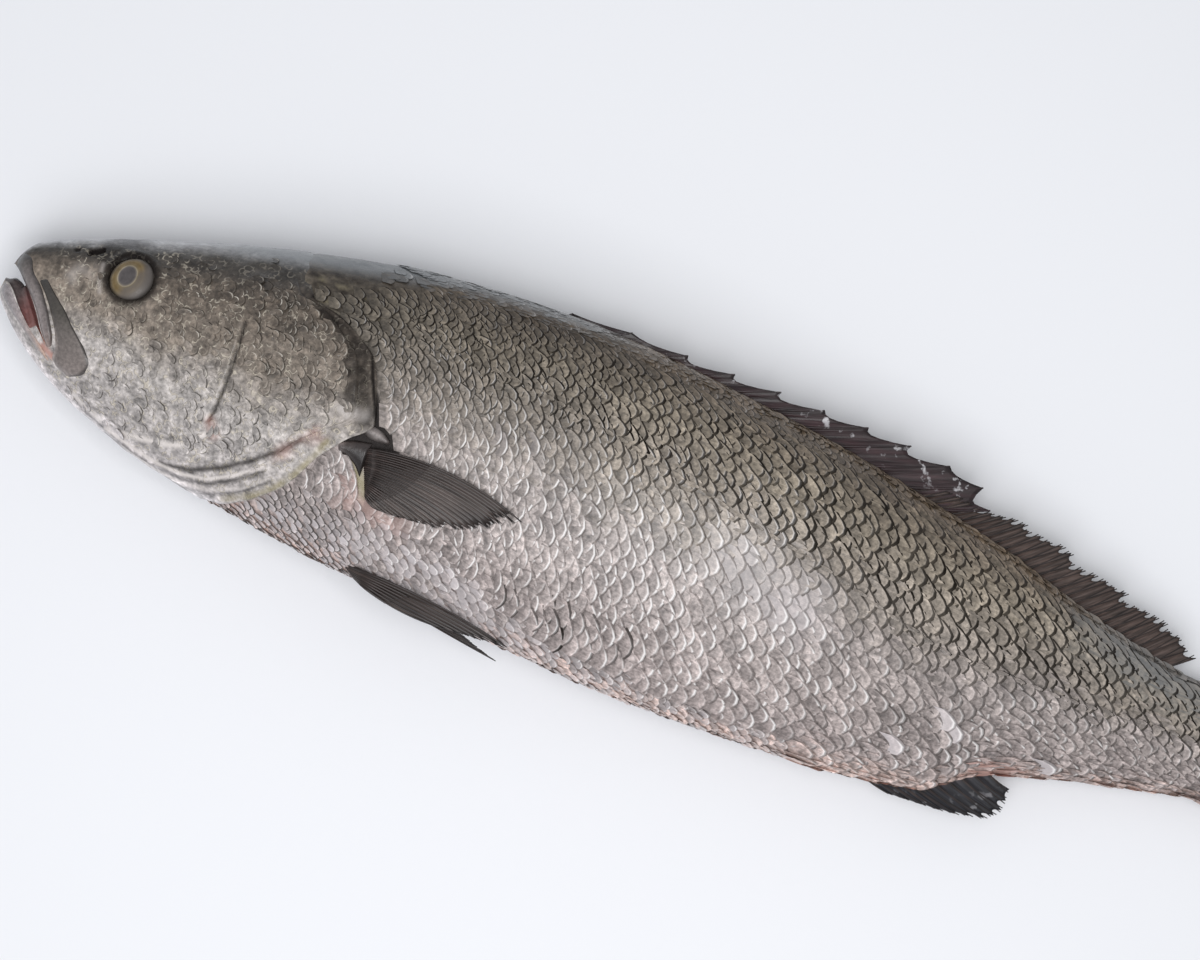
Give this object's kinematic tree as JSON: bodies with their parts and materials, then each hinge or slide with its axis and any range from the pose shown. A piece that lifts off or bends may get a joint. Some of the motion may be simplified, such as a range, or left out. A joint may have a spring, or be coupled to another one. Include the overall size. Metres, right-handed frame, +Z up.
{
  "type": "whole corvina fish",
  "caption": "Whole raw corvina lying on its right side: long scaled silver-grey body, folded dark fins, gill cover, parted jaws and clouded eyes.",
  "frame": {"origin": "on the board, under the middle of the fish's overall box", "axes": "+X from the snout to the tail, +Y from the belly to the back, +Z up from the board, out of the left flank"},
  "size_m": [0.6378, 0.1428, 0.0752],
  "materials": {
    "skin": "satin",
    "fin": "satin",
    "mouth": "satin",
    "eye": "gloss"
  },
  "bodies": {
    "root": {"corvina": "skin", "eye_left": "eye", "eye_right": "eye"}
  },
  "joints": []
}
